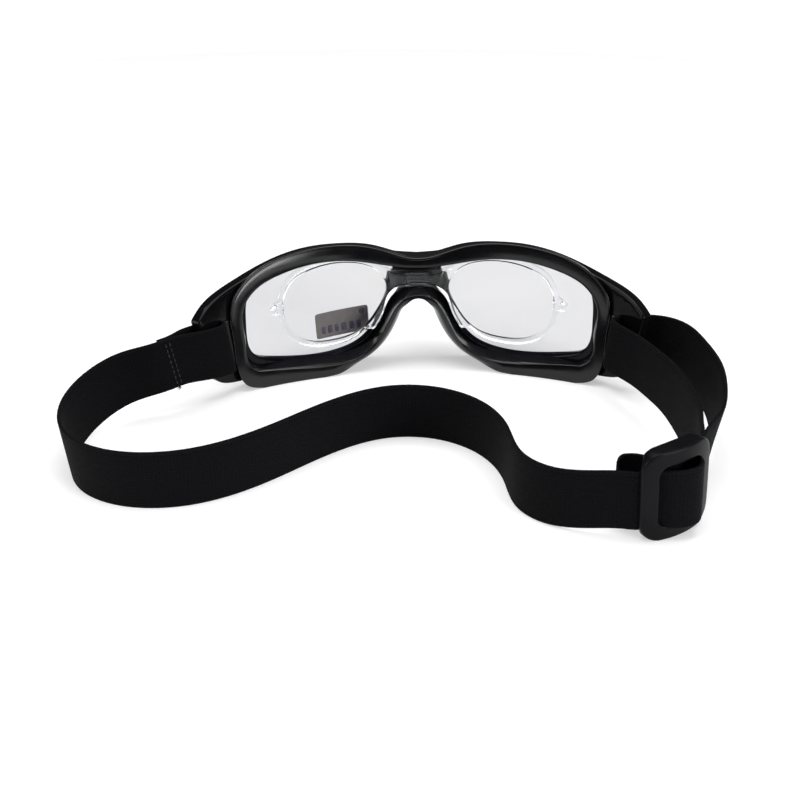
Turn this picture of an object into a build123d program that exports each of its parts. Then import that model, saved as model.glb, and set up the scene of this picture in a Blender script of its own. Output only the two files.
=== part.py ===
"""Sports protective goggles lying on a table, with the strap looped out behind them.

Sub-parts are drawn about the nose: x to the wearer's right, y the way the wearer looks,
z up from the table. FACE (front view) and PLAN (top view) carry those axes into the row
frame, whose origin is on the table under the middle of the whole object.
"""
import os
from math import asin, cos, degrees, radians, sin, sqrt, tan

from build123d import *

os.makedirs("parts", exist_ok=True)

# Placing of the nose in the row frame, and the lean of the front (mm, degrees)
NOSE_X = 12.1
NOSE_Y = 49.3
LEAN = 10.0

# Wrap of each layer in plan: radius of its rear face, where that face crosses x = 0,
# and its thickness
FLANGE_RADIUS = 135.0
FLANGE_Y = 3.0
FLANGE_THICKNESS = 2.0
SHELL_RADIUS = 96.0
SHELL_Y = 15.5
SHELL_THICKNESS = 4.5
LENS_INSET = 1.5
LENS_THICKNESS = 2.0
LENS_GRIP = 1.5
INSERT_RADIUS = 115.0
INSERT_Y = 11.0
INSERT_THICKNESS = 2.4
LABEL_THICKNESS = 0.2

# Webbing and its slider
STRAP_WIDTH = 20.0
STRAP_THICKNESS = 1.3
LAYER_GAP = 0.2
SLIDER_LENGTH = 25.5
SLIDER_HEIGHT = 29.0
SLIDER_CORNER = 5.0
SLIDER_BAR = 5.6
SLIDER_WINDOW_HEIGHT = 21.0
SLIDER_CENTRE_BAR = 3.6
SLIDER_CLEARANCE = 0.3
SLIDER_OUTER_BAR_DEPTH = 1.8
SLIDER_CENTRE_BAR_DEPTH = 1.7
SLIDER_TURN = 28.0
SLIDER_SLOPE = 4.0
SLIDER_X = 70.0
SLIDER_Y = -117.0

# Lug: the end panel of each arm, with a slot for the webbing and a thinner bar outside it.
# The bar leans outward, along with the end of the arm.
LUG_SLOT_WIDTH = 5.0
LUG_SLOT_LOW = 8.4
LUG_SLOT_HIGH = 31.0
LUG_BAR_X = 78.9
LUG_BAR_Z = 20.0
LUG_BAR_WIDTH = 4.0
LUG_BAR_THICKNESS = 2.6
LUG_LEAN_X = 0.167
LUG_LEAN_Y = -0.063
LOOP_HALF_GAP = 3.2
LOOP_SETBACK = 2.2

FACE = Plane(origin=(NOSE_X, NOSE_Y, 0), x_dir=(1, 0, 0), z_dir=(0, -1, 0))
PLAN = Plane(origin=(NOSE_X, NOSE_Y, 0))
LEAN_DIRECTION = (0, sin(radians(LEAN)), cos(radians(LEAN)))
FRONT_HEIGHT = 60.0
FRONT_DEPTH = 70.0


def front_outline(*stretches):
    """Closed face, symmetric about the nose, from curves that run down its right half."""
    with BuildSketch(FACE) as outline:
        with BuildLine():
            for stretch in stretches:
                if len(stretch) == 2:
                    Line(*stretch)
                else:
                    Spline(*stretch)
            mirror(about=Plane.YZ)
        make_face()
    return outline.sketch


def grown(points, amount):
    """The points of a closed outline, each moved square to its two neighbours.

    The points run anticlockwise, so a positive amount makes the outline larger.
    """
    moved = []
    for before, here, after in zip(points[-1:] + points[:-1], points, points[1:] + points[:1]):
        run = Vector(after[0] - before[0], after[1] - before[1]).normalized()
        moved.append((here[0] + amount * run.Y, here[1] - amount * run.X))
    return moved


def both_sides(points):
    """A closed rounded outline on the right of the nose, and its mirror on the left."""
    with BuildSketch(FACE) as outline:
        for side in (1, -1):
            with BuildLine():
                Spline(*[(side * x, z) for x, z in points], periodic=True)
            make_face()
    return outline.sketch


def curved_layer(radius, rear_y, thickness):
    """Plan of a layer that wraps the face, from its rear face to the one ahead of it."""
    with BuildSketch(PLAN) as layer:
        with Locations((0, rear_y - radius)):
            Circle(radius + thickness)
            Circle(radius, mode=Mode.SUBTRACT)
    return layer.sketch


def layer_y(radius, rear_y, x, z=0.0):
    """Where the rear face of a layer stands at a place on the front view."""
    return rear_y - radius + sqrt(radius**2 - x**2) + z * tan(radians(LEAN))


# Front-view outlines, in x and z. Each runs from the brow at the nose, round the outer
# corner and back to the nose arch.
flange_outer = front_outline(
    [(0, 43.7), (8, 45.2), (18, 48.4), (33, 50), (50, 48.1), (63, 42.8), (69.4, 35),
     (69.2, 20), (68, 8), (65, 2.2), (59, 0)],
    [(59, 0), (36, 0)],
    [(36, 0), (24, 1.2), (15, 8), (8, 19.8), (3.8, 25.8), (0, 27.6)],
)
flange_opening = front_outline(
    [(0, 40.1), (9, 40.9), (22, 43.6), (37, 44.7), (52, 42.2), (62, 37.6), (65.3, 32),
     (64.6, 18), (62.6, 8.4), (58, 6)],
    [(58, 6), (38, 4.4), (26, 5.4), (16.6, 11.4), (9.5, 23.6), (4.5, 28.2), (0, 29.2)],
)
cup_outer = front_outline(
    [(0, 42.0), (9, 42.8), (22, 45.5), (37, 46.6), (52.6, 44.0), (63.3, 39.2), (67.2, 32),
     (66.4, 18), (64.6, 7.2), (58.4, 4.1)],
    [(58.4, 4.1), (38, 2.5), (25, 3.6), (15.1, 10.3), (8, 22.4), (3.7, 26.6), (0, 27.5)],
)
shell_outer = front_outline(
    [(0, 40.3), (9, 41.7), (17, 44.3), (30, 46.1), (44, 46.2), (56, 44.2), (70, 39.8),
     (79, 35.4), (82, 31.5)],
    [(82, 31.5), (78.4, 10)],
    [(78.4, 10), (75.4, 5.8), (69, 3.4)],
    [(69, 3.4), (54, 2)],
    [(54, 2), (34, 2)],
    [(34, 2), (23, 4), (15, 12), (8, 23), (0, 28.6)],
)

# Lens aperture on the right of the nose
APERTURE = [(10.3, 40), (10.6, 31), (14.6, 19), (22, 8.6), (34, 4.6), (53, 7.4), (63, 12.4),
            (65.2, 24), (64.2, 35.4), (50, 41.6), (34, 43.6), (18, 42.4)]
aperture = both_sides(APERTURE)
lens_outline = both_sides(grown(APERTURE, LENS_GRIP))

# Rim of the prescription insert on the right of the nose
INSERT_RIM = [(11.6, 31), (14.6, 21.4), (22.4, 12.6), (33, 9.3), (43.6, 10.6), (51, 17),
              (53.6, 27.6), (50.4, 36.4), (40, 41.6), (25, 42), (15.6, 38.4)]
INSERT_RIM_WIDTH = 1.8
insert_rim = both_sides(INSERT_RIM)
insert_opening = both_sides(grown(INSERT_RIM, -INSERT_RIM_WIDTH))
insert_saddle = front_outline(
    [(0, 35.2), (7.5, 36), (16, 39)],
    [(16, 39), (17, 34)],
    [(17, 34), (15.4, 29)],
    [(15.4, 29), (18.4, 21), (22, 15.5)],
    [(22, 15.5), (17, 14)],
    [(17, 14), (13.6, 20), (11.6, 25.4), (8.4, 29.4), (4.8, 30.6), (0, 30.8)],
)

# Lenses: curved plates held in a groove round each aperture
lens_radius = SHELL_RADIUS + LENS_INSET
lens_y = SHELL_Y + LENS_INSET

with BuildPart() as lenses:
    extrude(
        curved_layer(lens_radius, lens_y, LENS_THICKNESS),
        amount=FRONT_HEIGHT,
        dir=LEAN_DIRECTION,
    )
    extrude(lens_outline, amount=FRONT_DEPTH, both=True, mode=Mode.INTERSECT)

lens_left, lens_right = lenses.part.solids().sort_by(Axis.X)

# One-piece front shell: lens apertures and grooves, bridge, arms and lugs, with a socket
# in the bridge for the insert's peg
PEG_WIDTH = 8.6
PEG_HEIGHT = 3.4
PEG_Z = 32.6
PEG_CLEARANCE = 0.15
PEG_TIP_Y = 22.6

# The lug bar's middle in plan at LUG_BAR_Z, and the turn of the wall there
lug_y = layer_y(
    SHELL_RADIUS + SHELL_THICKNESS / 2, SHELL_Y + SHELL_THICKNESS / 2, LUG_BAR_X, LUG_BAR_Z
)
lug_turn = degrees(asin(LUG_BAR_X / (SHELL_RADIUS + SHELL_THICKNESS / 2)))
lug_drop = LUG_BAR_Z - LUG_SLOT_LOW
slot_middle = (LUG_BAR_WIDTH + LUG_SLOT_WIDTH) / 2
slot_x = LUG_BAR_X - LUG_LEAN_X * lug_drop - slot_middle * cos(radians(lug_turn))
slot_y = lug_y - LUG_LEAN_Y * lug_drop + slot_middle * sin(radians(lug_turn))
bar_recess = (SHELL_THICKNESS - LUG_BAR_THICKNESS) / 2

with BuildPart() as lug_slots:
    for side in (1, -1):
        with BuildSketch(PLAN.offset(LUG_SLOT_LOW)):
            with Locations(Location((side * slot_x, slot_y), -side * lug_turn)):
                Rectangle(LUG_SLOT_WIDTH, 3 * SHELL_THICKNESS)
        extrude(amount=LUG_SLOT_HIGH - LUG_SLOT_LOW,
                dir=(side * LUG_LEAN_X, LUG_LEAN_Y, 1))

with BuildPart() as lug_recesses:
    with BuildSketch(FACE):
        with Locations((LUG_BAR_X + 2, (LUG_SLOT_LOW + LUG_SLOT_HIGH) / 2)):
            Rectangle(14, LUG_SLOT_HIGH - LUG_SLOT_LOW)
        mirror(about=Plane.YZ)
    extrude(amount=FRONT_DEPTH, both=True)
    extrude(
        curved_layer(SHELL_RADIUS + bar_recess, SHELL_Y + bar_recess, LUG_BAR_THICKNESS),
        amount=FRONT_HEIGHT,
        dir=LEAN_DIRECTION,
        mode=Mode.SUBTRACT,
    )

with BuildSketch(FACE) as peg_socket:
    with Locations((0, PEG_Z)):
        Rectangle(PEG_WIDTH + 2 * PEG_CLEARANCE, PEG_HEIGHT + 2 * PEG_CLEARANCE)

with BuildPart() as front_shell:
    extrude(
        curved_layer(SHELL_RADIUS, SHELL_Y, SHELL_THICKNESS),
        amount=FRONT_HEIGHT,
        dir=LEAN_DIRECTION,
    )
    extrude(shell_outer, amount=FRONT_DEPTH, both=True, mode=Mode.INTERSECT)
    extrude(aperture, amount=FRONT_DEPTH, both=True, mode=Mode.SUBTRACT)
    add(lug_slots.part, mode=Mode.SUBTRACT)
    add(lug_recesses.part, mode=Mode.SUBTRACT)
    extrude(peg_socket.sketch, amount=-(PEG_TIP_Y + PEG_CLEARANCE), mode=Mode.SUBTRACT)
    add(lenses.part, mode=Mode.SUBTRACT)

# Soft face cushion: a cup wall from the shell back to the face, and a flange that turns
# outward there
with BuildSketch(PLAN) as cup_depth:
    with Locations((0, SHELL_Y - SHELL_RADIUS)):
        Circle(SHELL_RADIUS)
    with Locations((0, FLANGE_Y - FLANGE_RADIUS)):
        Circle(FLANGE_RADIUS, mode=Mode.SUBTRACT)

with BuildPart() as flange:
    extrude(
        curved_layer(FLANGE_RADIUS, FLANGE_Y, FLANGE_THICKNESS),
        amount=FRONT_HEIGHT,
        dir=LEAN_DIRECTION,
    )
    extrude(flange_outer, amount=FRONT_DEPTH, both=True, mode=Mode.INTERSECT)

with BuildPart() as face_cushion:
    extrude(cup_depth.sketch, amount=FRONT_HEIGHT, dir=LEAN_DIRECTION)
    extrude(cup_outer, amount=FRONT_DEPTH, both=True, mode=Mode.INTERSECT)
    add(flange.part)
    extrude(flange_opening, amount=FRONT_DEPTH, both=True, mode=Mode.SUBTRACT)
    extrude(
        curved_layer(SHELL_RADIUS, SHELL_Y, SHELL_THICKNESS),
        amount=FRONT_HEIGHT,
        dir=LEAN_DIRECTION,
        mode=Mode.SUBTRACT,
    )

# Paper label on the outer face of the left lens
LABEL_X = -29.2
LABEL_Z = 16.0
LABEL_WIDTH = 20.5
LABEL_HEIGHT = 10.8
LABEL_TURN = 4.0
LABEL_CORNER = 1.2

with BuildSketch(FACE) as label_outline:
    with Locations(Location((LABEL_X, LABEL_Z), LABEL_TURN)):
        RectangleRounded(LABEL_WIDTH, LABEL_HEIGHT, LABEL_CORNER)

with BuildPart() as lens_label:
    extrude(
        curved_layer(lens_radius + LENS_THICKNESS, lens_y + LENS_THICKNESS, LABEL_THICKNESS),
        amount=FRONT_HEIGHT,
        dir=LEAN_DIRECTION,
    )
    extrude(label_outline.sketch, amount=FRONT_DEPTH, both=True, mode=Mode.INTERSECT)

# Clear prescription insert: two empty rims, the saddle between them with its two lower
# tips, a small ear outside each rim, and the peg that holds it in the bridge
EAR_X = 54.6
EAR_Z = 26.4
EAR_RADIUS = 1.9
EAR_HOLE_RADIUS = 0.9

with BuildSketch(FACE) as insert_ears:
    with Locations((EAR_X, EAR_Z)):
        Circle(EAR_RADIUS)
        Circle(EAR_HOLE_RADIUS, mode=Mode.SUBTRACT)
    mirror(about=Plane.YZ)

PEG_ROOT_Y = 18.0
with BuildSketch(FACE.offset(-PEG_ROOT_Y)) as peg:
    with Locations((0, PEG_Z)):
        Rectangle(PEG_WIDTH, PEG_HEIGHT)

with BuildPart() as rx_insert:
    for outline in (insert_rim, insert_saddle, insert_ears.sketch):
        extrude(outline, amount=FRONT_DEPTH, both=True)
    extrude(insert_opening, amount=FRONT_DEPTH, both=True, mode=Mode.SUBTRACT)
    extrude(
        curved_layer(INSERT_RADIUS, INSERT_Y, INSERT_THICKNESS),
        amount=FRONT_HEIGHT,
        dir=LEAN_DIRECTION,
        mode=Mode.INTERSECT,
    )
    extrude(peg.sketch, amount=-(PEG_TIP_Y - PEG_ROOT_Y))

# Slider: two rails, an outer bar at each end in front of the webbing, and a centre bar
# behind it. Its own x runs along the webbing and its z out of the loop.
turn = radians(SLIDER_TURN)
slope = radians(SLIDER_SLOPE)
along = Vector(cos(turn) * cos(slope), sin(turn) * cos(slope), sin(slope))
outward = Vector(sin(turn), -cos(turn), 0)

half_height = SLIDER_HEIGHT / 2 - SLIDER_CORNER
half_length = SLIDER_LENGTH / 2 - SLIDER_CORNER
slider_z = half_height * cos(slope) + half_length * sin(slope) + SLIDER_CORNER

front_of_webbing = STRAP_THICKNESS / 2 + SLIDER_CLEARANCE
back_of_webbing = 1.5 * STRAP_THICKNESS + LAYER_GAP + SLIDER_CLEARANCE
rail_front = front_of_webbing + SLIDER_OUTER_BAR_DEPTH
rail_back = back_of_webbing + SLIDER_CENTRE_BAR_DEPTH

SLIDER = Plane(
    origin=(NOSE_X + SLIDER_X, NOSE_Y + SLIDER_Y, slider_z), x_dir=along, z_dir=outward
)

with BuildPart() as slider:
    with BuildSketch(SLIDER.offset(-rail_back)):
        RectangleRounded(SLIDER_LENGTH, SLIDER_HEIGHT, SLIDER_CORNER)
        RectangleRounded(
            SLIDER_LENGTH - 2 * SLIDER_BAR, SLIDER_WINDOW_HEIGHT, 1.5, mode=Mode.SUBTRACT
        )
    extrude(amount=rail_front + rail_back)
    with BuildSketch(SLIDER.offset(front_of_webbing)):
        Rectangle(SLIDER_LENGTH + 1, SLIDER_WINDOW_HEIGHT)
    extrude(amount=-2 * SLIDER_HEIGHT, mode=Mode.SUBTRACT)
    with BuildSketch(SLIDER.offset(-rail_back)):
        Rectangle(SLIDER_CENTRE_BAR, SLIDER_WINDOW_HEIGHT + 1)
    extrude(amount=SLIDER_CENTRE_BAR_DEPTH)


def on_slider(distance, height):
    """A place in plan, given along the slider and out of its plane."""
    return (
        SLIDER_X + distance * cos(turn) + height * sin(turn),
        SLIDER_Y + distance * sin(turn) - height * cos(turn),
    )


# Strap: one length of webbing on edge. Its middle line in plan runs from the sewn tail,
# round the left lug's bar and the back of the head, through the slider, round the right
# lug's bar and back into the slider, to its free end.
SEWN_LENGTH = 17.0
SEWN_START = 13.0


def at_left_lug(distance, outside):
    """A place in plan by the left lug's bar: distance away from it, and outside it."""
    pull = Vector(-0.78, -0.626)
    out = Vector(-0.626, 0.78)
    spot = Vector(-LUG_BAR_X, lug_y) + pull * distance + out * outside
    return (spot.X, spot.Y)


def at_right_lug(distance, outside):
    """The same by the right lug's bar."""
    pull = Vector(0.62, -0.785)
    out = Vector(0.785, 0.62)
    spot = Vector(LUG_BAR_X, lug_y) + pull * distance + out * outside
    return (spot.X, spot.Y)


half_layer = (STRAP_THICKNESS + LAYER_GAP) / 2
second_layer = -(STRAP_THICKNESS + LAYER_GAP)

with BuildLine() as strap_line:
    tail = Spline(
        at_left_lug(SEWN_LENGTH, half_layer),
        at_left_lug(SEWN_START, half_layer),
        at_left_lug(6, 2.0),
        at_left_lug(0, LOOP_HALF_GAP),
        at_left_lug(-LOOP_SETBACK, LOOP_HALF_GAP),
    )
    left_turn = ThreePointArc(
        tail @ 1,
        at_left_lug(-LOOP_SETBACK - LOOP_HALF_GAP, 0),
        at_left_lug(-LOOP_SETBACK, -LOOP_HALF_GAP),
    )
    back_of_head = Spline(
        left_turn @ 1,
        at_left_lug(0, -LOOP_HALF_GAP),
        at_left_lug(6, -2.0),
        at_left_lug(SEWN_START, -half_layer),
        at_left_lug(SEWN_LENGTH, -half_layer),
        (-103, -34.5),
        (-113, -44.5),
        (-118.4, -58),
        (-118.6, -71),
        (-112.5, -85.5),
        (-98, -95.6),
        (-79, -96.4),
        (-54, -82.2),
        (-28, -59.4),
        (-12, -52.2),
        (4, -54.4),
        (17, -65.6),
        (23, -84),
        (26, -103),
        (35, -112),
        (47, -116.6),
        (57, -119.8),
        on_slider(-7.2, -0.3),
        on_slider(-6.4, 0),
    )
    through_slider = Line(back_of_head @ 1, on_slider(4.4, 0))
    outer_run = Spline(
        through_slider @ 1,
        on_slider(8, -0.7),
        on_slider(12, -2.8),
        (83.2, -102),
        (88, -86),
        (92.8, -66),
        (94.9, -48),
        (92.4, -32),
        (86, -20.5),
        at_right_lug(0, LOOP_HALF_GAP),
        at_right_lug(-LOOP_SETBACK, LOOP_HALF_GAP),
    )
    right_turn = ThreePointArc(
        outer_run @ 1,
        at_right_lug(-LOOP_SETBACK - LOOP_HALF_GAP, 0),
        at_right_lug(-LOOP_SETBACK, -LOOP_HALF_GAP),
    )
    inner_run = Spline(
        right_turn @ 1,
        at_right_lug(0, -LOOP_HALF_GAP),
        (79, -28.5),
        (82.8, -42),
        (84.4, -58),
        (83.8, -76),
        (81.4, -94),
        (78.4, -105.4),
        on_slider(8, second_layer - 0.9),
        on_slider(4.4, second_layer),
    )
    under_slider = Line(inner_run @ 1, on_slider(-6.4, second_layer))
    free_end = Spline(
        under_slider @ 1,
        on_slider(-8.8, second_layer - 1.2),
        (56, -116.4),
        (52.8, -113.6),
    )

with BuildSketch(PLAN) as strap_plan:
    trace(strap_line.line, STRAP_THICKNESS)

strap_length = sum(edge.length for edge in strap_line.edges())
print("strap length", round(strap_length, 1))

# Height of the strap's lower edge: on the table along the back of the head, lifted to the
# slider, and up to the slot at each lug
LUG_EDGE_Z = 10.0
SLIDER_RISE = tan(slope) / cos(turn)
slider_edge_z = slider_z - STRAP_WIDTH / 2
SLIDER_NEAR = 60.0
SLIDER_FAR = 100.0
RUN_UP_START = 30.0
RUN_UP_END = 53.0
RIGHT_START_Y = -111.0


def edge_by_slider(x):
    """Height of the strap's lower edge at a place in x near the slider."""
    return slider_edge_z + (x - SLIDER_X) * SLIDER_RISE


left_heights = [(-70, 0), (-58, 0.9), (-46, 3), (-34, 5.8), (-24, 8.6), (0, 9)]
middle_heights = [
    (-60, 0), (RUN_UP_START, 0), (RUN_UP_END, edge_by_slider(RUN_UP_END)),
    (SLIDER_NEAR, edge_by_slider(SLIDER_NEAR)),
]
slider_heights = [
    (SLIDER_NEAR, edge_by_slider(SLIDER_NEAR)), (SLIDER_FAR, edge_by_slider(SLIDER_FAR)),
]
right_heights = [(RIGHT_START_Y, 5.7), (-16, LUG_EDGE_Z), (0, LUG_EDGE_Z)]
front_left_heights = [(-130, 0), (-60, 0)]


def height_band(plane, heights):
    """Side view of the space a stretch of strap fills, from its lower edge up."""
    with BuildSketch(plane) as band:
        with BuildLine():
            Polyline(*heights, *[(a, z + STRAP_WIDTH) for a, z in reversed(heights)], close=True)
        make_face()
    return band.sketch


def seen_from_left(x):
    """Plane across x, with y along it and z up."""
    return Plane(origin=(NOSE_X + x, NOSE_Y, 0), x_dir=(0, 1, 0), z_dir=(1, 0, 0))


def seen_from_front(y):
    """Plane across y, with x along it and z up; it faces the wearer."""
    return Plane(origin=(NOSE_X, NOSE_Y + y, 0), x_dir=(1, 0, 0), z_dir=(0, -1, 0))


STRAP_LEFT = -130.0

with BuildPart() as strap_space:
    extrude(height_band(seen_from_left(STRAP_LEFT), left_heights), amount=70)
    extrude(height_band(seen_from_front(-70), front_left_heights), amount=65)
    extrude(height_band(seen_from_front(-45), middle_heights), amount=90)
    extrude(height_band(seen_from_front(RIGHT_START_Y), slider_heights), amount=24)
    extrude(height_band(seen_from_left(SLIDER_NEAR), right_heights), amount=40)

with BuildPart() as strap:
    extrude(strap_plan.sketch, amount=LUG_EDGE_Z + STRAP_WIDTH + 5)
    add(strap_space.part, mode=Mode.INTERSECT)

# Sewing thread across the sewn tail: two rows on the inner face, two on the outer
STITCH_LENGTH = 1.5
STITCH_PITCH = 2.2
STITCH_WIDTH = 0.5
STITCH_HEIGHT = 0.35
STITCH_ROWS = (14.0, 15.6)
STITCH_COUNT = 8
sewn_edge_z = 8.2

with BuildPart() as strap_stitching:
    for side in (1, -1):
        face_offset = side * (half_layer + STRAP_THICKNESS / 2 + 0.03)
        row_normal = Vector(-0.626, 0.78) * side
        for row in STITCH_ROWS:
            spot_x, spot_y = at_left_lug(row, face_offset)
            row_plane = Plane(
                origin=(NOSE_X + spot_x, NOSE_Y + spot_y, sewn_edge_z + STRAP_WIDTH / 2),
                x_dir=(0, 0, 1),
                z_dir=row_normal,
            )
            with BuildSketch(row_plane):
                with GridLocations(STITCH_PITCH, 0, STITCH_COUNT, 1):
                    SlotOverall(STITCH_LENGTH, STITCH_WIDTH)
            extrude(amount=STITCH_HEIGHT)

pieces = {
    "front_shell": front_shell.part,
    "face_cushion": face_cushion.part,
    "lens_left": lens_left,
    "lens_right": lens_right,
    "lens_label": lens_label.part,
    "rx_insert": rx_insert.part,
    "strap": strap.part,
    "strap_stitching": strap_stitching.part,
    "slider": slider.part,
}

for name, piece in pieces.items():
    piece.label = name
    export_step(piece, f"parts/{name}.step")
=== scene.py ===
"""Sports protective goggles lying on a pale table, with their strap laid out behind them.

Shapes are drawn in millimetres about the nose (x to the wearer's right, y the way the
wearer looks, z up from the table) and moved into the row frame when their mesh is made.
"""

import math

import bmesh
import bpy
import numpy as np
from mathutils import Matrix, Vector
from mathutils.geometry import delaunay_2d_cdt


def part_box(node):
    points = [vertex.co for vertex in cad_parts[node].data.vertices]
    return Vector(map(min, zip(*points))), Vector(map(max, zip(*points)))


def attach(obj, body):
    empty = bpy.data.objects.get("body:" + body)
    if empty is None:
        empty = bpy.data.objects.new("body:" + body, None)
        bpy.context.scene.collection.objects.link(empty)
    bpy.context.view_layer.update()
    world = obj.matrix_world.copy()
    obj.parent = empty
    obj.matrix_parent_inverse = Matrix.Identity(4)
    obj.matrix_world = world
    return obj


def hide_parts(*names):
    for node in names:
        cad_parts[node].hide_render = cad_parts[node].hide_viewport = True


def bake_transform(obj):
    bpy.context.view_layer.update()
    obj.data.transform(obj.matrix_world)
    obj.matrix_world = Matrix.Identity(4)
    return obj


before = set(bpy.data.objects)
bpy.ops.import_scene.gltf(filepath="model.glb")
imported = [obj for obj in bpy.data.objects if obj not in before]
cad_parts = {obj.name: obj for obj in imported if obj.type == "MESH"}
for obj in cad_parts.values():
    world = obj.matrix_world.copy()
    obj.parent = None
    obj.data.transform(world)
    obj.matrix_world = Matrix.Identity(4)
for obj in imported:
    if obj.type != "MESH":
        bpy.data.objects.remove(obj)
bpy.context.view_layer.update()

# ---------------------------------------------------------------- layers of the front (mm)
LEAN = math.tan(math.radians(10.0))
FLANGE_RADIUS, FLANGE_Y, FLANGE_THICKNESS = 135.0, 3.0, 2.0
SHELL_RADIUS, SHELL_Y, SHELL_THICKNESS = 96.0, 15.5, 4.5
LENS_RADIUS, LENS_Y, LENS_THICKNESS = 97.5, 17.0, 2.0
INSERT_RADIUS, INSERT_Y, INSERT_THICKNESS = 115.0, 11.0, 2.4
LABEL_THICKNESS = 0.2

shell_low, shell_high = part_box("front_shell")
SHELL_TOP_AT_NOSE = 40.3
NOSE = np.array([
    500 * (shell_low.x + shell_high.x),
    1000 * shell_high.y - (SHELL_Y + SHELL_THICKNESS + SHELL_TOP_AT_NOSE * LEAN),
    0.0,
])


def to_row(points):
    """Millimetres about the nose to metres in the row frame."""
    return (np.asarray(points, float) + NOSE) / 1000


# ---------------------------------------------------------------- curves
def tangents(points, closed):
    """Slopes of the smooth cubic through points, by distance along their chords."""
    steps = np.linalg.norm(np.diff(points, axis=0), axis=1)
    slopes = np.diff(points, axis=0) / steps[:, None]
    count = len(points) - 1 if closed else len(points)
    matrix = np.zeros((count, count))
    right = np.zeros((count, points.shape[1]))
    for i in range(count):
        if not closed and i in (0, count - 1):
            near = 0 if i == 0 else -1
            matrix[i, i] = 2
            matrix[i, 1 if i == 0 else count - 2] = 1
            right[i] = 3 * slopes[near]
            continue
        before, after = steps[i - 1], steps[i]
        matrix[i, i] = 2 * (before + after)
        matrix[i, (i - 1) % count] += after
        matrix[i, (i + 1) % count] += before
        right[i] = 3 * (after * slopes[i - 1] + before * slopes[i])
    found = np.linalg.solve(matrix, right)
    return steps, (np.vstack([found, found[:1]]) if closed else found)


def smooth(points, closed=False, count=None, step=0.6, lead=None):
    """Evenly spaced points on the smooth curve through points. Spacing goes by the first
    lead coordinates."""
    points = np.array(points, float)
    if closed:
        points = np.vstack([points, points[:1]])
    steps, slopes = tangents(points, closed)
    dense = []
    share = np.linspace(0, 1, 24, endpoint=False)[:, None]
    for i, h in enumerate(steps):
        a, b = points[i], points[i + 1]
        dense.append(
            (2 * share**3 - 3 * share**2 + 1) * a + (share**3 - 2 * share**2 + share) * h * slopes[i]
            + (3 * share**2 - 2 * share**3) * b + (share**3 - share**2) * h * slopes[i + 1]
        )
    dense = np.vstack(dense + [points[-1:]])
    return spaced(dense, closed, count, step, lead)


def spaced(points, closed=False, count=None, step=0.6, lead=None):
    """The same line with evenly spaced points. A closed line leaves out its last point."""
    points = np.asarray(points, float)
    run = np.linalg.norm(np.diff(points[:, :lead], axis=0), axis=1)
    run = np.concatenate([[0], np.cumsum(run)])
    if count is None:
        count = max(4, int(round(run[-1] / step)) + (0 if closed else 1))
    at = np.linspace(0, run[-1], count, endpoint=not closed)
    return np.stack([np.interp(at, run, column) for column in points.T], -1)


def mirrored(right_half):
    """Closed loop from its right half, which runs from the brow down to the nose arch."""
    left_half = right_half[::-1][1:-1] * np.array([-1, 1])
    return np.vstack([right_half, left_half])


def soften(loop, times):
    """Rounds the corners of a closed loop a little."""
    for _ in range(times):
        loop = loop / 2 + (np.roll(loop, 1, 0) + np.roll(loop, -1, 0)) / 4
    return loop


def turned(loop, anticlockwise=True):
    """The loop, run the given way round."""
    x, z = loop.T
    area = np.sum(x * np.roll(z, -1) - np.roll(x, -1) * z)
    return loop if (area > 0) == anticlockwise else loop[::-1]


def inward(loop):
    """Unit normals on the left of a closed loop."""
    run = np.roll(loop, -1, 0) - np.roll(loop, 1, 0)
    run /= np.maximum(np.linalg.norm(run, axis=1), 1e-9)[:, None]
    return np.stack([-run[:, 1], run[:, 0]], -1)


def ramp(x, start, stop):
    """Smooth rise from 0 at start to 1 at stop."""
    share = np.clip((x - start) / (stop - start), 0, 1)
    return share * share * (3 - 2 * share)


# ---------------------------------------------------------------- meshes
class Build:
    """Rows of points, and the faces between them."""

    def __init__(self):
        self.points, self.faces, self.size = [], [], 0

    def row(self, points):
        start = self.size
        self.points.append(np.asarray(points, float))
        self.size += len(points)
        return start

    def band(self, a, b, closed=True):
        """Quads between two rows, each given as a list of point numbers."""
        for i in range(len(a) if closed else len(a) - 1):
            j = (i + 1) % len(a)
            self.faces.append((a[i], a[j], b[j], b[i]))

    def made(self):
        return np.vstack(self.points), self.faces


def piece(name, shape, body, stands_for=(), uv=None, blended=None):
    """A smooth-shaded mesh in the row frame, riding on a body. uv is one pair per point.
    blended is a pair of bodies and a pair of points; when it is given, the piece rides on no body
    and stays fixed in the row frame, and the bodies and points are not used."""
    points, faces = shape
    mesh = bpy.data.meshes.new(name)
    mesh.from_pydata([tuple(p) for p in to_row(points)], [], [tuple(map(int, f)) for f in faces])
    if uv is not None:
        layer = mesh.uv_layers.new(name="UVMap")
        corner = np.zeros(len(mesh.loops), np.int32)
        mesh.loops.foreach_get("vertex_index", corner)
        layer.data.foreach_set("uv", np.asarray(uv, np.float32)[corner].ravel())
    work = bmesh.new()
    work.from_mesh(mesh)
    bmesh.ops.recalc_face_normals(work, faces=work.faces)
    work.to_mesh(mesh)
    work.free()
    mesh.polygons.foreach_set("use_smooth", [True] * len(mesh.polygons))
    mesh.set_sharp_from_angle(angle=math.radians(55))
    made = bpy.data.objects.new(name, mesh)
    bpy.context.scene.collection.objects.link(made)
    if blended:
        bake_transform(made)
    else:
        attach(made, body)
    if stands_for:
        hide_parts(*stands_for)
    return made


def in_loops(points, loops):
    """Which points lie inside the outer loop and outside the holes."""
    inside = np.zeros(len(points), bool)
    for loop in loops:
        for (x0, z0), (x1, z1) in zip(loop, np.roll(loop, -1, 0)):
            if z0 == z1:
                continue
            crosses = (points[:, 1] < z0) != (points[:, 1] < z1)
            at = x0 + (points[:, 1] - z0) * (x1 - x0) / (z1 - z0)
            inside ^= crosses & (points[:, 0] < at)
    return inside


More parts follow.
